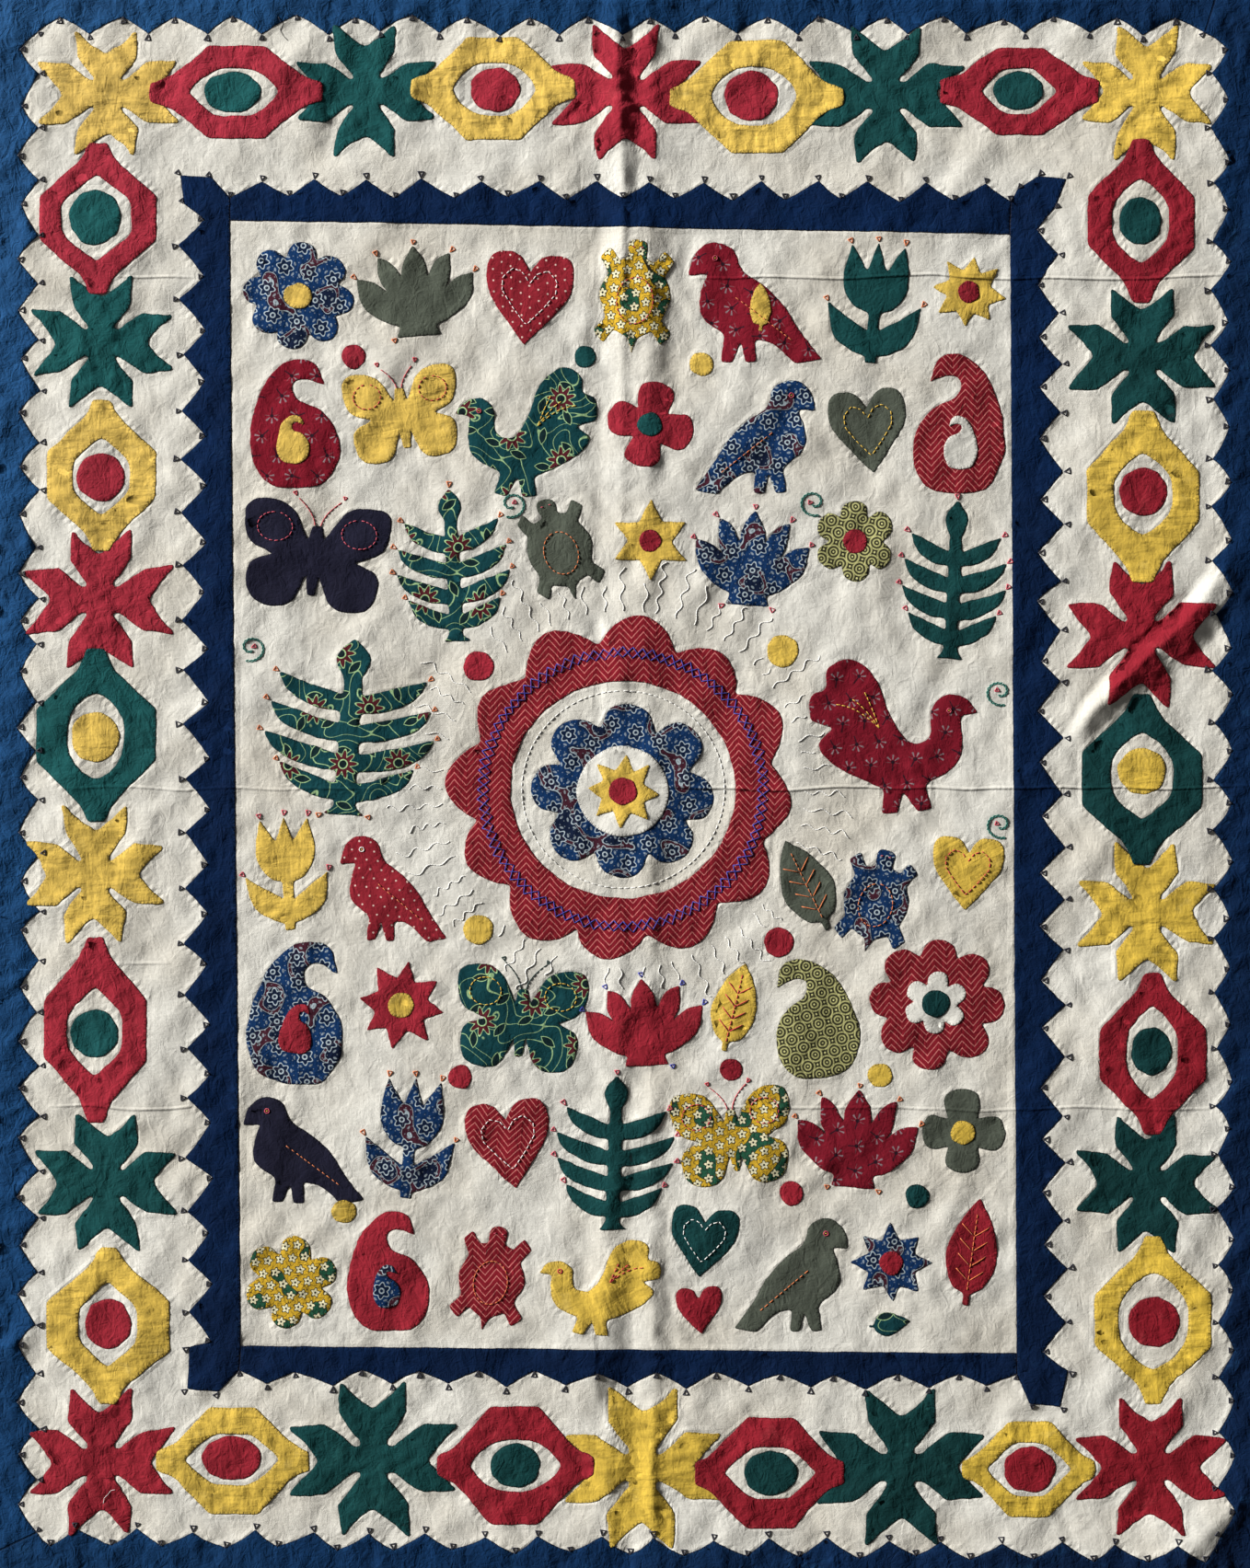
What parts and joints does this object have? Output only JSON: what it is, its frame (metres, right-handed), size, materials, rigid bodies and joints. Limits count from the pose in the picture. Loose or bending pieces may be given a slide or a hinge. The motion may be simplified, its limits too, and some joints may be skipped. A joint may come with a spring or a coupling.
{
  "type": "kutch embroidery",
  "caption": "Flat cotton applique cloth with a toothed blue border, a toothed navy inner frame and a ring of flower and eye motifs round a centre field.",
  "frame": {"origin": "under the middle of the cloth, on the surface that it lies on", "axes": "+X to the right across the face, +Y up the face along the long side, +Z out of the face"},
  "size_m": [0.9646, 1.2026, 0.0092],
  "materials": {
    "white_cotton": "matt natural white slub cotton, plain weave, crinkled",
    "blue_cotton": "matt mid blue cotton, plain weave",
    "navy_cotton": "matt navy cotton, plain weave",
    "red_cotton": "matt crimson cotton, plain weave",
    "yellow_cotton": "matt yellow cotton, plain weave, puckered along its stitched edges",
    "green_cotton": "matt dark teal green cotton, plain weave"
  },
  "bodies": {
    "root": {"ground_cloth": "white_cotton", "outer_border": "blue_cotton", "frame_top": "navy_cotton", "frame_right": "navy_cotton", "frame_bottom": "navy_cotton", "frame_left": "navy_cotton", "flower_01": "yellow_cotton", "ring_01": "red_cotton", "disc_01": "green_cotton", "flower_02": "green_cotton", "ring_02": "yellow_cotton", "disc_02": "red_cotton", "flower_03": "red_cotton", "ring_03": "yellow_cotton", "disc_03": "red_cotton", "flower_04": "green_cotton", "ring_04": "red_cotton", "disc_04": "green_cotton", "flower_05": "yellow_cotton", "ring_05": "red_cotton", "disc_05": "green_cotton", "flower_06": "green_cotton", "ring_06": "yellow_cotton", "disc_06": "red_cotton", "flower_07": "red_cotton", "ring_07": "green_cotton", "disc_07": "yellow_cotton", "flower_08": "yellow_cotton", "ring_08": "red_cotton", "disc_08": "green_cotton", "flower_09": "green_cotton", "ring_09": "yellow_cotton", "disc_09": "red_cotton", "flower_10": "red_cotton", "ring_10": "yellow_cotton", "disc_10": "red_cotton", "flower_11": "green_cotton", "ring_11": "red_cotton", "disc_11": "green_cotton", "flower_12": "yellow_cotton", "ring_12": "red_cotton", "disc_12": "green_cotton", "flower_13": "green_cotton", "ring_13": "yellow_cotton", "disc_13": "red_cotton", "flower_14": "red_cotton", "ring_14": "yellow_cotton", "disc_14": "red_cotton", "flower_15": "green_cotton", "ring_15": "red_cotton", "disc_15": "green_cotton", "flower_16": "yellow_cotton", "ring_16": "green_cotton", "disc_16": "yellow_cotton", "flower_17": "red_cotton", "ring_17": "yellow_cotton", "disc_17": "red_cotton", "flower_18": "green_cotton", "ring_18": "red_cotton", "disc_18": "green_cotton"}
  },
  "joints": []
}
